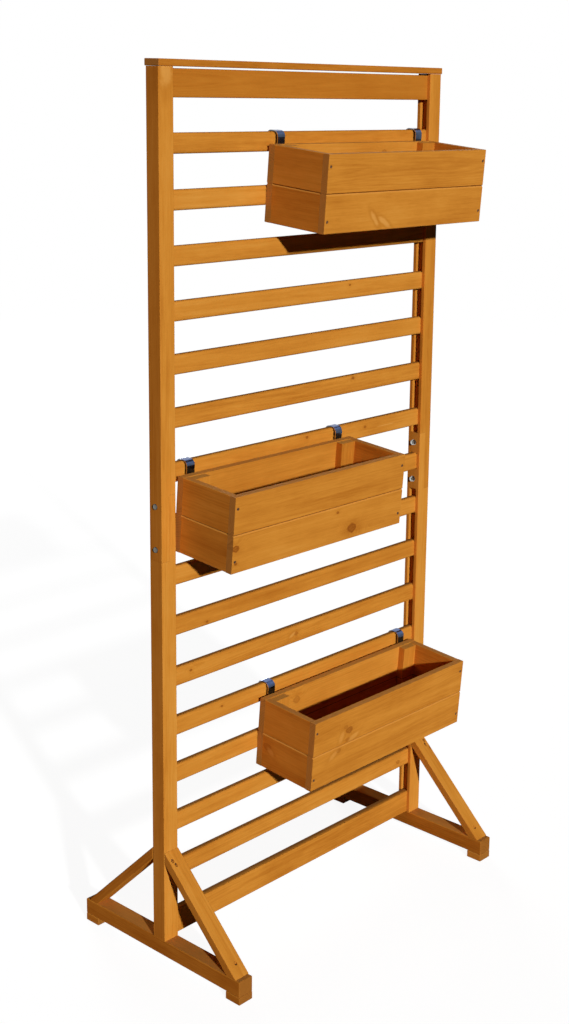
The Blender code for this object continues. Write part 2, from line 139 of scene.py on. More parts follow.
def newGroup(name, inputs, outputs):
    group = bpy.data.node_groups.new(name, "ShaderNodeTree")
    for direction, sockets in (("INPUT", inputs), ("OUTPUT", outputs)):
        for label, kind in sockets:
            group.interface.new_socket(label, in_out=direction, socket_type="NodeSocket" + kind)
    given = group.nodes.new("NodeGroupInput").outputs
    return group, given, group.nodes.new("NodeGroupOutput").inputs


def useGroup(tree, group, **inputs):
    return addNode(tree, "Group", {"node_tree": group}, **inputs).outputs


# Grain of a sawn board, shared by all: x of the point runs along it

ringPattern = {
    "wobble": ((1.5, 8.0, 8.0), 1.0, 0.026),     # stretch and detail of the noise, and its reach
    "ripple": ((7.0, 42.0, 42.0), 3.0, 0.005),
    "rise": (0.10, 0.84),                         # the dark late wood, in parts of a ring
    "fall": (0.86, 1.00),
    "faintest": 0.25,                             # the faintest ring against the strongest
    "patch": ((1.3, 11.0, 11.0), (0.36, 0.62), 0.3),   # stretch, edges and least strength
    "fibre": ((40.0, 700.0, 700.0), 3.0, 0.65),   # stretch, detail and roughness of the noise
    "cloud": ((7.0, 11.0, 11.0), 3.0, 0.60),
    "streak": ((8.0, 210.0, 210.0), 3.0, 0.60),
    "band": ((2.6, 44.0, 44.0), 2.0, 0.55),
}


def makeFigureGroup():
    group, given, result = newGroup(
        "pineFigure",
        [("Point", "Vector"), ("Pith", "Vector"), ("Lean", "Vector"), ("Seed", "Vector"),
         ("Ring Width", "Float"), ("Bend", "Float")],
        [("Late Wood", "Float"), ("Fibre", "Float"), ("Cloud", "Float"), ("Streak", "Float"),
         ("Band", "Float")])
    point = given["Point"]
    seeded = vectorCalc(group, "ADD", point, given["Seed"])
    along = addNode(group, "SeparateXYZ", Vector=point).outputs[0]
    away = vectorCalc(group, "SUBTRACT", point, given["Pith"])
    away = vectorCalc(group, "SUBTRACT", away, scaleVector(group, given["Lean"], along))
    distance = vectorCalc(group, "LENGTH", vectorCalc(group, "MULTIPLY", away, (0.0, 1.0, 1.0)))
    for part in ("wobble", "ripple"):
        stretch, detail, reach = ringPattern[part]
        shift = swing(group, seeded, stretch, detail)
        distance = calc(group, "MULTIPLY_ADD", shift, reach, distance)
    distance = calc(group, "ADD", distance, given["Bend"])
    ring = calc(group, "DIVIDE", distance, given["Ring Width"])
    cycle = calc(group, "FRACT", ring)
    late = calc(group, "MULTIPLY", ramp(group, cycle, *ringPattern["rise"]),
                ramp(group, cycle, *ringPattern["fall"], 1.0, 0.0))
    eachRing = addNode(group, "TexWhiteNoise", {"noise_dimensions": "1D"},
                       W=calc(group, "FLOOR", ring)).outputs["Value"]
    faintest = ringPattern["faintest"]
    strength = calc(group, "MULTIPLY_ADD", eachRing, 1.0 - faintest, faintest)
    stretch, edges, least = ringPattern["patch"]
    patchy = ramp(group, noise(group, seeded, stretch), *edges, least, 1.0)
    strength = calc(group, "MULTIPLY", strength, patchy)
    plug(group, result["Late Wood"], calc(group, "MULTIPLY", late, strength))
    for part in ("Fibre", "Cloud", "Streak", "Band"):
        plug(group, result[part], noise(group, seeded, *ringPattern[part.lower()]))
    return group


# Knots run through the board, and the rings swell round them. Reaches are in radii

knotShape = {
    "stretch": (0.70, 0.08, 1.0),                  # longer along the grain
    "rough": ((90.0, 20.0, 120.0), 1.1),           # stretch of the noise, and its reach
    "mottle": ((260.0, 40.0, 420.0), (0.35, 0.65), 0.6),
    "core": (0.7, 1.2),
    "rim": ((0.55, 0.80), (0.90, 1.30)),
    "halo": (0.8, 3.6),
    "swell": ((0.3, 5.0), 2.6),
}


def makeKnotGroup():
    group, given, result = newGroup(
        "pineKnot", [("Point", "Vector"), ("Centre", "Vector"), ("Radius", "Float")],
        [("Knot", "Float"), ("Halo", "Float"), ("Bend", "Float")])
    away = vectorCalc(group, "SUBTRACT", given["Point"], given["Centre"])
    spread = vectorCalc(group, "MULTIPLY", away, knotShape["stretch"])
    size = calc(group, "DIVIDE", vectorCalc(group, "LENGTH", spread), given["Radius"])
    stretch, reach = knotShape["rough"]
    size = calc(group, "MULTIPLY_ADD", swing(group, away, stretch), reach, size)
    stretch, edges, least = knotShape["mottle"]
    mottle = ramp(group, noise(group, away, stretch), *edges, least, 1.0)
    core = calc(group, "MULTIPLY", ramp(group, size, *knotShape["core"], 1.0, 0.0), mottle)
    inside, outside = knotShape["rim"]
    rim = calc(group, "MULTIPLY", ramp(group, size, *inside),
               ramp(group, size, *outside, 1.0, 0.0))
    plug(group, result["Knot"], calc(group, "MAXIMUM", core, rim))
    plug(group, result["Halo"], ramp(group, size, *knotShape["halo"], 1.0, 0.0))
    edges, reach = knotShape["swell"]
    swell = calc(group, "MULTIPLY", ramp(group, size, *edges, 1.0, 0.0), given["Radius"])
    plug(group, result["Bend"], calc(group, "MULTIPLY", swell, reach))
    return group


# Flames are slanting streaks of pale wood with a darker rim, where a branch was cut lengthways

flameShape = {"rough": ((60.0, 20.0, 60.0), 0.8), "core": (0.35, 0.95), "rim": (0.9, 1.7)}


def makeFlameGroup():
    group, given, result = newGroup(
        "pineFlame",
        [("Point", "Vector"), ("Centre", "Vector"), ("Length", "Float"), ("Width", "Float"),
         ("Turn", "Vector")],
        [("Core", "Float"), ("Rim", "Float")])
    away = vectorCalc(group, "SUBTRACT", given["Point"], given["Centre"])
    aside = vectorCalc(group, "CROSS_PRODUCT", given["Turn"], (0.0, 1.0, 0.0))
    squares = []
    for way, reach in ((given["Turn"], given["Length"]), (aside, given["Width"])):
        share = calc(group, "DIVIDE", vectorCalc(group, "DOT_PRODUCT", away, way), reach)
        squares.append(calc(group, "MULTIPLY", share, share))
    size = calc(group, "SQRT", calc(group, "ADD", *squares))
    stretch, reach = flameShape["rough"]
    size = calc(group, "MULTIPLY_ADD", swing(group, away, stretch), reach, size)
    core = ramp(group, size, *flameShape["core"], 1.0, 0.0)
    rim = ramp(group, size, *flameShape["rim"], 1.0, 0.0)
    plug(group, result["Core"], core)
    plug(group, result["Rim"], calc(group, "SUBTRACT", rim, core, clamp=True))
    return group


figureGroup, knotGroup, flameGroup = makeFigureGroup(), makeKnotGroup(), makeFlameGroup()
print("wood patterns made")


# Glazed pine. Each board has its own slice of the wood and its own depth of colour

pine = {
    "shades": ((0.0, (0.73, 0.335, 0.060)), (0.38, (0.615, 0.240, 0.030)),   # pale to deep
               (0.70, (0.45, 0.148, 0.014)), (1.0, (0.24, 0.064, 0.007))),
    "start": 0.40,                        # a board's depth among the shades
    "depths": (("Band", 0.42), ("Streak", 0.34), ("Fibre", 0.34), ("Cloud", 0.46)),
    "depthSpread": (0.80, 1.15),
    "ringDepth": 0.12,
    "ringSpread": (0.60, 1.20),
    "haloDepth": 0.12,
    "ringWidth": (0.0026, 0.0056),
    "pithAway": (0.012, 0.050),           # from the board's middle, through it
    "pithAcross": 0.03,
    "lean": (0.03, 0.018),                # of the pith along the board, through it and across
    "seeds": 9,                           # the most that chance shifts a board's noise
    "nextBoard": (0.43, 0.019, 0.0),      # the upper board of a wall is another slice
    "nextSpread": (-0.12, 0.10),
    "knot": (0.29, 0.080, 0.008),
    "flame": (0.72, 0.34, 0.075),
    "flameRim": 0.58,
    "sideShade": (1.0, 0.82, 0.72),       # painted shade on the faces turned sideways
    "sideEdges": (0.60, 0.95),
    "rimShade": (0.48, 0.220, 0.060),      # painted shade on the upward faces of boxes, feet and posts
    "slatTopShade": (0.20, 0.088, 0.028),      # and of slats, rails and the cap
    "topShare": {"rimShade": 0.5, "slatTopShade": 0.8},
    "topEdges": (0.80, 0.97),
    "topFade": (-0.0085, 0.0045, 0.05, 1.0),   # where the painted shade fades, from front to back, and the shares there
    "groove": (((-0.0024, -0.0004), (0.76, 0.36, 0.080), 0.3),   # painted highlight on the V's lit lip
               ((0.0, 0.0019), (0.20, 0.060, 0.010), 0.7)),      # and painted shade on its dark side
    "grooveSoft": 0.0004,
    "endGrain": (0.46, 0.170, 0.034),     # the cut ends, where the glaze soaks in
    "footEnd": (0.31, 0.112, 0.019),
    "battenEnd": (0.58, 0.260, 0.048),
    "endRingGlaze": (0.6, 0.6, 0.6),      # darkens the rings there
    "endRingShare": 0.6,
    "endEdges": (0.45, 0.80),
    "endShare": 0.85,
    "roughness": 0.42,
    "roughByCloud": 0.16,
    "roughByRing": -0.08,
    "bump": {"Strength": 0.3, "Distance": 0.0004},
    "ringHeight": 0.6,
    "wornEdge": (-0.009, -0.003),         # the upper front edge, rounded off by hand
    "wornFacing": (0.60, 0.97),
    "wornHeight": -6.0,
    "tint": (1.0, 0.80, 0.52, 1.0),
}


def boardPoint(tree, centre, along, wide):
    # Object coordinates turned into the board's own: x along the grain, y through it, z across
    turn = Matrix((along, wide.cross(along), wide))
    shift = -(turn @ centre)
    source = addNode(tree, "TexCoord").outputs["Object"]
    return addNode(tree, "Mapping", {"vector_type": "POINT"}, Vector=source, Location=shift[:],
                   Rotation=turn.to_euler("XYZ")[:], Scale=(1.0, 1.0, 1.0)).outputs[0]


def shadeRamp(tree, value, stops):
    node = addNode(tree, "ValToRGB", Fac=value)
    marks = node.color_ramp.elements
    while len(marks) < len(stops):
        marks.new(0.5)
    for mark, (place, colour) in zip(marks, stops):
        mark.position, mark.color = place, (*colour, 1.0)
    return node.outputs[0]


def addKnots(tree, point, knots):
    bend, core, halo = 0.0, 0.0, 0.0
    for along, across, radius, strength in knots:
        knot = useGroup(tree, knotGroup, Point=point, Centre=(along, 0.0, across), Radius=radius)
        bend = calc(tree, "ADD", bend, knot["Bend"])
        core = calc(tree, "MAXIMUM", calc(tree, "MULTIPLY", knot["Knot"], strength), core)
        halo = calc(tree, "MAXIMUM", calc(tree, "MULTIPLY", knot["Halo"], strength), halo)
    return bend, core, halo


def sliceFigure(tree, point, bend, draw):
    side = draw.choice((-1, 1)) * draw.uniform(*pine["pithAway"])
    pith = (0.0, side, draw.uniform(-pine["pithAcross"], pine["pithAcross"]))
    lean = (0.0, *[draw.uniform(-most, most) for most in pine["lean"]])
    seed = [draw.uniform(0, pine["seeds"]) for axis in "xyz"]
    return useGroup(tree, figureGroup, Point=point, Pith=pith, Lean=lean, Seed=seed,
                    Ring_Width=draw.uniform(*pine["ringWidth"]), Bend=bend)


def addFlames(tree, point, flames, colour):
    for along, across, length, width, angle, strength in flames:
        turn = (math.cos(math.radians(angle)), 0.0, math.sin(math.radians(angle)))
        flame = useGroup(tree, flameGroup, Point=point, Centre=(along, 0.0, across),
                         Length=length, Width=width, Turn=turn)
        for part, share, shade in (("Rim", strength * pine["flameRim"], pine["shades"][2][1]),
                                   ("Core", strength, pine["flame"])):
            mask = calc(tree, "MULTIPLY", flame[part], share)
            colour = blendColours(tree, mask, colour, (*shade, 1.0))
    return colour


# Painted shade: a darker, redder colour on the faces turned sideways, and a dark top colour on the
# faces turned up
def paintFaceShade(tree, colour, through, facings, topShade, topFade):
    sideways = ramp(tree, calc(tree, "ABSOLUTE", facings[0]), *pine["sideEdges"])
    shadedColour = blendColours(tree, 1.0, colour, (*pine["sideShade"], 1.0), "MULTIPLY")
    colour = blendColours(tree, sideways, colour, shadedColour)
    up = ramp(tree, facings[2], *pine["topEdges"], 0.0, pine["topShare"][topShade])
    if topFade:
        up = calc(tree, "MULTIPLY", up, ramp(tree, through, *pine["topFade"]))
    return blendColours(tree, up, colour, (*pine[topShade], 1.0))


# Painted highlight and painted shade along the V between two boards
def markGroove(tree, colour, over):
    for (low, high), shade, share in pine["groove"]:
        mask = calc(tree, "MULTIPLY", bandMask(tree, over, low, high, pine["grooveSoft"]), share)
        colour = blendColours(tree, mask, colour, (*shade, 1.0))
    return colour


def markEnds(tree, colour, facing, grainWay, cut, lateWood):
    ends = calc(tree, "ABSOLUTE", vectorCalc(tree, "DOT_PRODUCT", facing, grainWay))
    darker = blendColours(tree, 1.0, cut, (*pine["endRingGlaze"], 1.0), "MULTIPLY")
    rings = calc(tree, "MULTIPLY", lateWood, pine["endRingShare"])
    deepEnd = blendColours(tree, rings, cut, darker)
    cutShare = ramp(tree, ends, *pine["endEdges"], 0.0, pine["endShare"])
    return blendColours(tree, cutShare, colour, deepEnd)


def glazedPine(name, centre, along, wide, draw, depth=0.0, knots=(), flames=(), seam=False,
               batten=0.0, groove=None, endShade="endGrain", topShade="rimShade", topFade=False,
               shine=0.0, calm=1.0):
    # seam: the wall is two boards. groove: the height of its V, from the middle of the board.
    # batten: where the corner battens start, from the outer face. calm: below 1 the figure of the
    # wood is fainter. topFade: the painted shade of the top face fades to the front. topShade:
    # which painted shade the top faces take
    material, tree, shader = newMaterial(name)
    point = boardPoint(tree, centre, along, wide)
    parts = addNode(tree, "SeparateXYZ", Vector=point).outputs
    sliced, grainWay, cut = point, tuple(along), (*pine[endShade], 1.0)
    deepness = pine["start"] + depth
    if seam:
        upper = calc(tree, "GREATER_THAN", parts[2], 0.0)
        sliced = vectorCalc(tree, "ADD", point, scaleVector(tree, pine["nextBoard"], upper))
        deepness = calc(tree, "MULTIPLY_ADD", upper, draw.uniform(*pine["nextSpread"]), deepness)
    if batten:  # corner battens stand on end: their grain runs up
        inner = calc(tree, "GREATER_THAN" if batten > 0 else "LESS_THAN", parts[1], batten)
        upright = addNode(tree, "CombineXYZ", X=parts[2], Y=parts[1], Z=parts[0])
        sliced = blendVectors(tree, inner, sliced, upright)
        grainWay = blendVectors(tree, inner, tuple(along), tuple(wide))
        cut = blendColours(tree, inner, cut, (*pine["battenEnd"], 1.0))

    bend, knotMask, haloMask = addKnots(tree, point, knots)
    figure = sliceFigure(tree, sliced, bend, draw)
    for part, amount in pine["depths"]:
        lift = calc(tree, "SUBTRACT", figure[part], 0.5)
        share = amount * calm * draw.uniform(*pine["depthSpread"])
        deepness = calc(tree, "MULTIPLY_ADD", lift, share, deepness)
    share = pine["ringDepth"] * calm * draw.uniform(*pine["ringSpread"])
    deepness = calc(tree, "MULTIPLY_ADD", figure["Late Wood"], share, deepness)
    if knots:
        deepness = calc(tree, "MULTIPLY_ADD", haloMask, pine["haloDepth"], deepness)
    colour = shadeRamp(tree, deepness, pine["shades"])
    if knots:
        colour = blendColours(tree, knotMask, colour, (*pine["knot"], 1.0))
    colour = addFlames(tree, point, flames, colour)

    facing = addNode(tree, "NewGeometry").outputs["Normal"]
    facings = addNode(tree, "SeparateXYZ", Vector=facing).outputs
    colour = paintFaceShade(tree, colour, parts[1], facings, topShade, topFade)
    if groove is not None:
        colour = markGroove(tree, colour, calc(tree, "SUBTRACT", parts[2], groove))
    colour = markEnds(tree, colour, facing, grainWay, cut, figure["Late Wood"])
    plug(tree, shader.inputs["Base Color"], colour)

    gloss = calc(tree, "MULTIPLY_ADD", figure["Cloud"], pine["roughByCloud"], pine["roughness"])
    gloss = calc(tree, "MULTIPLY_ADD", figure["Late Wood"], pine["roughByRing"], gloss)
    plug(tree, shader.inputs["Roughness"], gloss)
    height = calc(tree, "MULTIPLY_ADD", figure["Late Wood"], pine["ringHeight"], figure["Fibre"])
    if topFade:
        worn = calc(tree, "MULTIPLY", ramp(tree, parts[1], *pine["wornEdge"], 1.0, 0.0),
                    ramp(tree, facings[2], *pine["wornFacing"]))
        height = calc(tree, "MULTIPLY_ADD", worn, pine["wornHeight"], height)
    bump = addNode(tree, "Bump", Height=height, **pine["bump"])
    plug(tree, shader.inputs["Normal"], bump.outputs[0])
    shader.inputs["Specular IOR Level"].default_value = shine
    shader.inputs["Specular Tint"].default_value = pine["tint"]
    return material


# Metals. edge: painted reflection, the colour of the faces turned sideways and how far these turn,
# edgeFade: where it ends along y, crown: painted reflection, the colour of the faces turned up

metals = {
    # bolt heads: dark on the rim and lighter on the faces turned sideways, a painted reflection
    "zincPlate": {"colour": (0.07, 0.07, 0.065), "roughness": 0.30,
                  "edge": ((0.17, 0.16, 0.135), (0.55, 0.90))},
    # a lighter copy of the zinc for the right post's bolts, a painted highlight
    "litZinc": {"colour": (0.16, 0.16, 0.15), "roughness": 0.25,
                "edge": ((0.55, 0.54, 0.50), (0.30, 0.90))},
    # hooks: a dark blue body, a blue crown and pale side edges, all painted reflection
    "brightPlate": {"colour": (0.055, 0.075, 0.115), "roughness": 0.18, "brushed": 0.04,
                    "crown": (0.09, 0.14, 0.31), "edge": ((0.62, 0.54, 0.46), (0.60, 0.95)),
                    "edgeFade": (-0.015, -0.006, 1.0, 0.25)},
    # dark brown: glaze over the heads, and painted shade of their recesses
    "screwSteel": {"colour": (0.085, 0.034, 0.010), "roughness": 0.50, "metallic": 0.3},
}
metalFinish = {
    "clouds": ((90.0, 90.0, 90.0), 3.0, 0.6),       # stretch, detail and roughness of the noise
    "lines": ((300.0, 300.0, 300.0), 2.0, 0.6),
    "crownEdges": (0.15, 0.90),
    "shade": (0.30, 0.70, 0.82, 1.08),
    "bump": {"Strength": 0.15, "Distance": 0.0001},
}


def plainMetal(name, colour, roughness, brushed=0.05, edge=None, edgeFade=None, crown=None,
               metallic=1.0):
    material, tree, shader = newMaterial(name)
    point = addNode(tree, "TexCoord").outputs["Object"]
    clouds = noise(tree, point, *metalFinish["clouds"])
    lines = noise(tree, point, *metalFinish["lines"])
    normal = addNode(tree, "NewGeometry").outputs["Normal"]
    facing = addNode(tree, "SeparateXYZ", Vector=normal).outputs
    base = (*colour, 1.0)
    # Painted reflection: lighter colours on the faces turned up and on the faces turned sideways
    if crown:
        upward = ramp(tree, facing[2], *metalFinish["crownEdges"])
        base = blendColours(tree, upward, base, (*crown, 1.0))
    if edge:
        sideways = ramp(tree, calc(tree, "ABSOLUTE", facing[0]), *edge[1])
        if edgeFade:
            back = addNode(tree, "SeparateXYZ", Vector=point).outputs[1]
            sideways = calc(tree, "MULTIPLY", sideways, ramp(tree, back, *edgeFade))
        base = blendColours(tree, sideways, base, (*edge[0], 1.0))
    shade = ramp(tree, clouds, *metalFinish["shade"])
    grey = addNode(tree, "CombineColor", Red=shade, Green=shade, Blue=shade).outputs[0]
    plug(tree, shader.inputs["Base Color"], blendColours(tree, 1.0, base, grey, "MULTIPLY"))
    shader.inputs["Metallic"].default_value = metallic
    gloss = calc(tree, "MULTIPLY_ADD", lines, brushed, roughness - brushed / 2)
    plug(tree, shader.inputs["Roughness"], calc(tree, "MULTIPLY_ADD", clouds, brushed, gloss))
    bump = addNode(tree, "Bump", Height=lines, **metalFinish["bump"])
    plug(tree, shader.inputs["Normal"], bump.outputs[0])
    return material


# Which way each board's grain runs, how deep its colour is, and its knots and flames. These are
# placed from the board's middle, in metres along and across it

xWay, yWay, zWay = Vector((1, 0, 0)), Vector((0, 1, 0)), Vector((0, 0, 1))
boxDepthWay = Vector((0, math.cos(planterTilt), math.sin(planterTilt)))
boxHeightWay = Vector((0, -math.sin(planterTilt), math.cos(planterTilt)))
braceRun = Vector((0, braceSpan["out"], -braceSpan["up"])).normalized()

boardDepth = {  # added up for all the words that are in the node's name
    "end_wall": 0.10, "top_rail": 0.16, "bottom_rail": 0.10, "foot_beam": 0.12, "foot_pad": 0.08,
    "top_cap": 0.28, "rear_brace": 0.08, "post_lower": -0.10, "post_upper": 0.05,
    "front_top_board": 0.02, "right_front_foot_pad": -0.30, "left_post_upper": -0.09,
    "lower_planter_front_bottom_board": 0.08, "middle_planter_front_bottom_board": -0.06,
    "upper_planter_front_top_board": -0.06, "middle_planter_left_end_wall": -0.05,
}
boardSpread = {"post": 0.01, "other": 0.07}   # chance difference of depth between boards
boardSeeds = {"step": 7, "first": 3}
boxShine = 0.015
railCalm = 0.45

knotsOn = {  # along, across, radius, strength
    "slat_04": [(0.130, 0.0097, 0.0024, 0.8)],
    "slat_06": [(0.145, 0.0130, 0.0030, 0.9)],
    "slat_07": [(0.004, 0.0105, 0.0028, 0.8), (0.188, 0.0046, 0.0028, 0.8)],
    "slat_10": [(-0.281, -0.0110, 0.0024, 0.8)],
    "slat_11": [(-0.022, 0.0012, 0.0040, 0.6), (-0.325, 0.0049, 0.0026, 0.8)],
    "slat_12": [(-0.240, 0.0061, 0.0024, 0.8)],
    "slat_15": [(0.333, -0.0020, 0.0042, 0.6)],
    "middle_planter_front_bottom_board": [
        (0.092, -0.0160, 0.0086, 1.0), (0.045, 0.0262, 0.0026, 0.9),
        (-0.2374, 0.0117, 0.0060, 1.0), (-0.2350, -0.0189, 0.0028, 0.9)],
    "lower_planter_front_top_board": [
        (-0.137, -0.0085, 0.0068, 0.75), (-0.148, 0.0010, 0.0040, 0.45),
        (-0.140, -0.0300, 0.0042, 0.5)],
    "lower_planter_front_bottom_board": [(-0.166, 0.0290, 0.0046, 0.45)],
    "lower_planter_left_end_wall": [(0.0506, -0.0256, 0.0072, 0.5)],
    "lower_planter_back_wall": [(-0.148, 0.0478, 0.0070, 0.45)],
    "upper_planter_back_wall": [(0.084, 0.0560, 0.0050, 0.5)],
    "right_front_brace": [(-0.100, 0.0160, 0.0030, 0.9)],
}

flamesOn = {  # along, across, half length, half width, angle, strength
    "upper_planter_front_bottom_board": [
        (-0.099, -0.0150, 0.026, 0.0070, -50, 0.6), (-0.068, -0.0235, 0.030, 0.0078, -32, 0.6)],
    "lower_planter_front_top_board": [
        (-0.122, -0.0290, 0.026, 0.0085, 20, 0.42), (-0.160, -0.0190, 0.020, 0.0090, 65, 0.35)],
    "lower_planter_front_bottom_board": [(-0.182, 0.0230, 0.022, 0.0080, 35, 0.35)],
    "lower_planter_left_end_wall": [(0.0400, -0.0340, 0.018, 0.0085, 40, 0.38)],
    "left_post_upper": [(0.464, -0.0020, 0.050, 0.0200, 0, 0.6)],
    "slat_11": [(-0.034, 0.0010, 0.015, 0.0050, 28, 0.6)],
    "slat_07": [(0.262, -0.0010, 0.045, 0.0018, 0, 0.6)],
}


def middleOf(node):
    low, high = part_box(node)
    return (Vector(low) + Vector(high)) / 2


def boxBoard(node, planter, draw, options):
    middle, rimY, rimZ = planters[planter]
    halfDepth, halfHeight = planterSize["depth"] / 2, planterSize["height"] / 2
    boxMiddle = Vector((middle, rimY, rimZ)) - boxDepthWay * halfDepth
    boxMiddle -= boxHeightWay * halfHeight
    if "end_wall" in node:
        side = 1 if "right" in node else -1
        centre = boxMiddle + xWay * side * planterSize["length"] / 2
        edge = planterSize["board"] + planterSize["battenStart"]
        return glazedPine(node, centre, boxDepthWay, boxHeightWay, draw, seam=True, groove=0.0,
                          batten=side * edge, **options)
    if "back_wall" in node:
        centre = boxMiddle + boxDepthWay * halfDepth
        return glazedPine(node, centre, xWay, boxHeightWay, draw, seam=True, groove=0.0, **options)
    if "floor" in node:
        return glazedPine(node, middleOf(node), xWay, boxDepthWay, draw, **options)
    rise = halfHeight / 2 if "top_board" in node else -halfHeight / 2
    front = planterSize["board"] / 2 - halfDepth
    centre = boxMiddle + boxDepthWay * front + boxHeightWay * rise
    return glazedPine(node, centre, xWay, boxHeightWay, draw, groove=-rise, **options)


def boardFor(node, draw):
    # Returns the material for a wooden node
    spread = boardSpread["post" if "post" in node else "other"]
    depth = sum(amount for words, amount in boardDepth.items() if words in node)
    options = {"depth": depth + draw.uniform(-spread, spread), "knots": knotsOn.get(node, ()),
               "flames": flamesOn.get(node, ())}
    for planter in planters:
        if node.startswith(planter):
            return boxBoard(node, planter, draw, {**options, "shine": boxShine})
    centre = middleOf(node)
    if "post" in node:
        return glazedPine(node, centre, zWay, xWay, draw, **options)
    if "foot" in node:
        return glazedPine(node, centre, yWay, xWay, draw, endShade="footEnd", **options)
    if "brace" in node:
        run = braceRun if "rear" in node else Vector((0, -braceRun.y, braceRun.z))
        return glazedPine(node, centre, run, xWay, draw, endShade="footEnd", **options)
    if node == "top_cap":
        return glazedPine(node, centre, xWay, yWay, draw, topShade="slatTopShade", **options)
    calm = railCalm if node == "top_rail" else 1.0
    return glazedPine(node, centre, xWay, zWay, draw, topShade="slatTopShade", topFade=True, calm=calm,
                      **options)


def dressNodes():
    zinc, litZinc, bright = (plainMetal(name, **metals[name])
                             for name in ("zincPlate", "litZinc", "brightPlate"))
    for number, (name, node) in enumerate(sorted(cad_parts.items())):
        if "hook" in name:
            material = bright
        elif "bolt" in name:  # heads show on the left post, nuts on the right one, which take a lighter copy of the zinc, a painted highlight
            material = zinc if "left" in name else litZinc
        else:
            seed = number * boardSeeds["step"] + boardSeeds["first"]
            material = boardFor(name, random.Random(seed))
        node.data.materials.clear()
        node.data.materials.append(material)
    print("materials on", len(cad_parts), "nodes")


dressNodes()


# Wood screws: one of each length is modelled and copied

screw = {"headRadius": 0.0028, "headHeight": 0.0018, "shank": 0.0014, "point": 0.002,
         "pointShare": 0.25, "recess": 0.0018, "recessDepth": 0.0010, "recessShare": 0.7,
         "armAngles": (16, 74), "armPull": 0.42, "sides": 24, "sink": 0.0004, "seed": 11}
flat = 1e-6   # how near to the head's face a point has to lie to count as on it
near = 1e-5   # the same for a ring on that face


def onHead(vert):
    return abs(vert.co.z) < flat


def selectFaces(wanted):
    bm = bmesh.from_edit_mesh(bpy.context.edit_object.data)
    bpy.ops.mesh.select_mode(type="FACE")
    for face in bm.faces:
        face.select_set(wanted(face))
    bm.select_flush_mode()
    bmesh.update_edit_mesh(bpy.context.edit_object.data)


def drawDown(distance, taper=None):
    # Extrudes what is selected downwards
    bpy.ops.mesh.extrude_region_move(TRANSFORM_OT_translate={"value": (0, 0, -distance)})
    if taper:
        bpy.ops.transform.resize(value=(taper, taper, 1))


def modelScrew(name, length):
    # The head's face lies at z = 0 and the screw points down
    bpy.ops.object.select_all(action="DESELECT")
    bpy.ops.mesh.primitive_circle_add(vertices=screw["sides"], radius=screw["headRadius"],
                                      fill_type="NGON")
    piece = bpy.context.object
    piece.name = name
    bpy.ops.object.mode_set(mode="EDIT")
    bpy.ops.mesh.select_all(action="SELECT")
    drawDown(screw["headHeight"], screw["shank"] / screw["headRadius"])
    drawDown(length - screw["headHeight"] - screw["point"])
    drawDown(screw["point"], screw["pointShare"])
    bpy.ops.mesh.select_all(action="DESELECT")  # the extrusion took the head's face along
    bpy.ops.mesh.select_mode(type="EDGE")
    bm = bmesh.from_edit_mesh(piece.data)
    for edge in bm.edges:
        edge.select_set(all(onHead(vert) for vert in edge.verts))
    bmesh.update_edit_mesh(piece.data)
    bpy.ops.mesh.edge_face_add()
    selectFaces(lambda face: all(onHead(vert) for vert in face.verts))
    bpy.ops.mesh.inset(thickness=screw["headRadius"] - screw["recess"])
    bm = bmesh.from_edit_mesh(piece.data)
    first, last = screw["armAngles"]
    for vert in bm.verts:  # pull the inset ring in between the four arms of the cross
        if onHead(vert) and vert.co.length < screw["headRadius"] - near:
            angle = math.degrees(math.atan2(vert.co.y, vert.co.x)) % 90
            if first < angle < last:
                vert.co.xy *= screw["armPull"]
    bmesh.update_edit_mesh(piece.data)
    selectFaces(lambda face: all(onHead(vert) and vert.co.length < screw["recess"] + near
                                 for vert in face.verts))
    drawDown(screw["recessDepth"], screw["recessShare"])
    bpy.ops.mesh.select_all(action="SELECT")
    bpy.ops.mesh.normals_make_consistent(inside=False)
    bpy.ops.object.mode_set(mode="OBJECT")
    return piece


screwSteel = plainMetal("screwSteel", **metals["screwSteel"])


def placeScrew(pattern, name, spot, way, body, turn):
    piece = pattern.copy()
    piece.data = pattern.data.copy()
    piece.name = name
    bpy.context.scene.collection.objects.link(piece)
    facing = Vector(way).to_track_quat("-Z", "Y").to_matrix().to_4x4()
    sunk = Vector(spot) + Vector(way).normalized() * screw["sink"]
    piece.data.transform(Matrix.Translation(sunk) @ facing @ Matrix.Rotation(turn, 4, "Z"))
    piece.data.materials.append(screwSteel)
    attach(piece, body)


boxScrews = {  # X goes both ways from the box's middle
    "wallX": 0.2375, "wallEdge": 0.0235, "wallLength": 0.035,   # from the upper and lower edge
    "hookX": 0.212, "hookZ": (-0.014, -0.034), "hookLength": 0.0145,   # from the back rim
    "hookStrap": 0.002,
    "floorX": 0.2095, "floorY": (-0.0238, -0.1362), "floorLength": 0.030,
    "floorZ": 0.004,   # from the lower edge
}


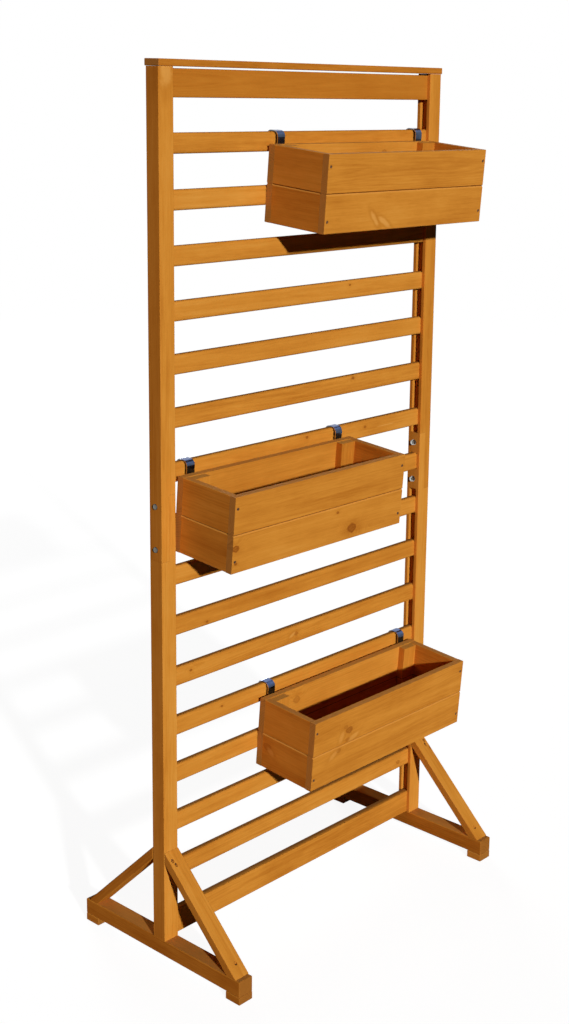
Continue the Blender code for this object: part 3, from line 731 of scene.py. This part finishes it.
def boxScrewPlaces():
    # Lists (name, place of the head, the way it points, length, body)
    found = []
    depth, height = planterSize["depth"], planterSize["height"]
    reach, edge = boxScrews["wallX"], boxScrews["wallEdge"]
    # A hook's screws have their whole head on top of the strap
    hookY = fitGap + boxScrews["hookStrap"] + screw["headHeight"] + screw["sink"]
    for name, rim in planters.items():
        lift = Matrix.Translation(rim) @ Matrix.Rotation(planterTilt, 4, "X")
        turn = lift.to_3x3()

        def add(label, place, way, length):
            place, way = lift @ Vector(place), turn @ Vector(way)
            found.append((f"{name}_{label}", place, way, length, name))

        for face, y, way in (("front", -depth, 1), ("back", 0.0, -1)):
            spots = [(x, z) for z in (-edge, edge - height) for x in (-reach, reach)]
            for number, (x, z) in enumerate(spots, 1):
                add(f"{face}_screw_{number}", (x, y, z), (0, way, 0), boxScrews["wallLength"])
        for side, sign in (("left", -1), ("right", 1)):
            for number, z in enumerate(boxScrews["hookZ"], 1):
                add(f"{side}_hook_screw_{number}", (sign * boxScrews["hookX"], hookY, z),
                    (0, -1, 0), boxScrews["hookLength"])
        for side, sign in (("left", -1), ("right", 1)):
            for number, y in enumerate(boxScrews["floorY"], 1):
                place = (sign * boxScrews["floorX"], y, boxScrews["floorZ"] - height)
                add(f"{side}_floor_screw_{number}", place, (0, 0, 1), boxScrews["floorLength"])
    return found


frameScrews = {
    "upper": ((0.0215, 0.0100), (0.0315, 0.0070)),   # down the brace, out from the post's middle
    "lower": (0.030, -0.002),                         # up the brace, out from the post's middle
    "pocket": 0.0029,                                 # radius of the bore that a head sits in
    "braceLength": 0.024,
    "footY": (-0.010, 0.010), "footZ": 0.0163, "footLength": 0.070,
}


def frameScrewPlaces():
    found = []
    face, ground = frameSize["halfDepth"] + fitGap, frameSize["beamTop"] + fitGap
    length, pocket = frameScrews["braceLength"], frameScrews["pocket"]
    postX = (frameSize["outer"] + frameSize["inner"]) / 2
    for side, word in ((-1, "left"), (1, "right")):
        for front, place in ((-1, "front"), (1, "rear")):
            top = Vector((front * face, ground + braceSpan["up"]))  # y and z of the brace's ends
            low = Vector((front * (face + braceSpan["out"]), ground))
            slope = (low - top).normalized()
            steep = abs(slope.y / slope.x)
            for number, (down, out) in enumerate(frameScrews["upper"], 1):
                spot = top + slope * down - Vector((front * pocket / steep, 0))
                found.append((f"{word}_{place}_brace_screw_{number}",
                              Vector((side * (postX + out), *spot)), Vector((0, -front, 0)),
                              length, "screen"))
            up, out = frameScrews["lower"]
            spot = low - slope * up - Vector((0, pocket * steep))
            found.append((f"{word}_{place}_brace_screw_3", Vector((side * (postX + out), *spot)),
                          Vector((0, 0, -1)), length, "screen"))
        for number, y in enumerate(frameScrews["footY"], 1):
            found.append((f"{word}_foot_screw_{number}",
                          Vector((side * postX, y, frameScrews["footZ"])), Vector((0, 0, 1)),
                          frameScrews["footLength"], "screen"))
    return found


def addScrews():
    patterns = {}
    draw = random.Random(screw["seed"])  # each screw stops at its own turn
    for name, spot, way, length, body in boxScrewPlaces() + frameScrewPlaces():
        if length not in patterns:
            patterns[length] = modelScrew(f"screwPattern{int(length * 10000)}", length)
        placeScrew(patterns[length], name, spot, way, body, draw.uniform(0, math.pi))
    for pattern in patterns.values():
        bpy.data.objects.remove(pattern)
    print("screws placed")


addScrews()


# Studio: pale floor, low key lamp from the front left as in the photograph, soft lamp from behind

studio = {
    "keyWay": (0.42, 1.0, -0.350),   # the way the light travels
    "keyPower": 3.4,
    "keyAngle": 2.0,
    "rearWay": (-0.55, -1.0, -0.14),
    "rearPower": 2.2,
    "rearAngle": 25.0,
    "fill": 0.012,
    "floorGlow": 0.912,
    "floorColour": 0.17,
    "floorBounce": 0.05,             # how pale the floor is for the light that it throws back
    "floorRoughness": 0.9,
    "floorSpecular": 0.1,
    "floorRadius": 60.0,
    "floorSides": 96,
    "floorDrop": 0.0005,             # below the feet
    "floorFade": (3.5, 9.0),         # where it turns plain white
}
white = (1, 1, 1, 1)


def seenDirectly(tree):
    path = addNode(tree, "LightPath").outputs
    seen = calc(tree, "ADD", path["Is Camera Ray"], path["Is Glossy Ray"])
    return calc(tree, "ADD", seen, path["Is Transmission Ray"], clamp=True)


def makeFloor():
    bpy.ops.object.select_all(action="DESELECT")
    bpy.ops.mesh.primitive_circle_add(vertices=studio["floorSides"], radius=studio["floorRadius"],
                                      fill_type="NGON", location=(0, 0, -studio["floorDrop"]))
    floor = bpy.context.object
    floor.name = "studioFloor"
    material, tree, shader = newMaterial("paleFloor")
    seen = seenDirectly(tree)
    pale = addNode(tree, "MapRange", Value=seen, To_Min=studio["floorBounce"],
                   To_Max=studio["floorColour"])
    grey = addNode(tree, "CombineColor", Red=pale, Green=pale, Blue=pale)
    plug(tree, shader.inputs["Base Color"], grey)
    shader.inputs["Roughness"].default_value = studio["floorRoughness"]
    shader.inputs["Specular IOR Level"].default_value = studio["floorSpecular"]
    away = vectorCalc(tree, "LENGTH", addNode(tree, "TexCoord").outputs["Object"])
    glow = addNode(tree, "Emission", Color=white,
                   Strength=calc(tree, "MULTIPLY", seen, studio["floorGlow"]))
    nearby = addNode(tree, "AddShader")
    plug(tree, nearby.inputs[0], shader)
    plug(tree, nearby.inputs[1], glow)
    mix = addNode(tree, "MixShader", Fac=ramp(tree, away, *studio["floorFade"]))
    plug(tree, mix.inputs[1], nearby)
    plug(tree, mix.inputs[2], addNode(tree, "Emission", Color=white, Strength=seen))
    plug(tree, tree.nodes["Material Output"].inputs["Surface"], mix)
    floor.data.materials.append(material)


def makeLights():
    world = bpy.data.worlds.new("studioWorld")
    bpy.context.scene.world = world
    world.use_nodes = True
    tree = world.node_tree
    background = tree.nodes["Background"]
    background.inputs["Color"].default_value = white
    strength = addNode(tree, "MapRange", Value=seenDirectly(tree), To_Min=studio["fill"],
                       To_Max=1.0)
    plug(tree, background.inputs["Strength"], strength)
    for part in ("key", "rear"):
        sun = bpy.data.lights.new(part + "Lamp", "SUN")
        sun.energy, sun.angle = studio[part + "Power"], math.radians(studio[part + "Angle"])
        lamp = bpy.data.objects.new(part + "Lamp", sun)
        lamp.rotation_euler = Vector(studio[part + "Way"]).to_track_quat("-Z", "Y").to_euler()
        bpy.context.scene.collection.objects.link(lamp)


# Camera, where the photograph was taken from: angles in degrees, focal length and middle in pixels,
# sensor in millimetres

shot = {"place": (-2.2858, -2.1676, 1.7720), "yaw": 49.7637, "pitch": -12.383, "roll": 1.4171,
        "focal": 1538.29, "middle": (388.079, 417.725), "size": (569, 1024), "sensor": 36.0}


def makeCamera():
    yaw, pitch, roll = (math.radians(shot[key]) for key in ("yaw", "pitch", "roll"))
    forward = Vector((math.sin(yaw) * math.cos(pitch), math.cos(yaw) * math.cos(pitch),
                      math.sin(pitch)))
    right = Vector((math.cos(yaw), -math.sin(yaw), 0))
    up = right.cross(forward)
    cameraX = right * math.cos(roll) + up * math.sin(roll)
    cameraY = up * math.cos(roll) - right * math.sin(roll)
    data = bpy.data.cameras.new("photoCamera")
    width, height = shot["size"]
    data.sensor_width = data.sensor_height = shot["sensor"]
    data.sensor_fit = "AUTO"
    data.lens = shot["focal"] * shot["sensor"] / height
    data.shift_x = (width / 2 - shot["middle"][0]) / height
    data.shift_y = (shot["middle"][1] - height / 2) / height
    camera = bpy.data.objects.new("photoCamera", data)
    turn = Matrix((cameraX, cameraY, -forward)).transposed().to_4x4()
    camera.matrix_world = Matrix.Translation(shot["place"]) @ turn
    bpy.context.scene.collection.objects.link(camera)
    bpy.context.scene.camera = camera


makeFloor()
makeLights()
makeCamera()
bpy.context.scene.view_settings.view_transform = "Standard"
print("studio and camera set")
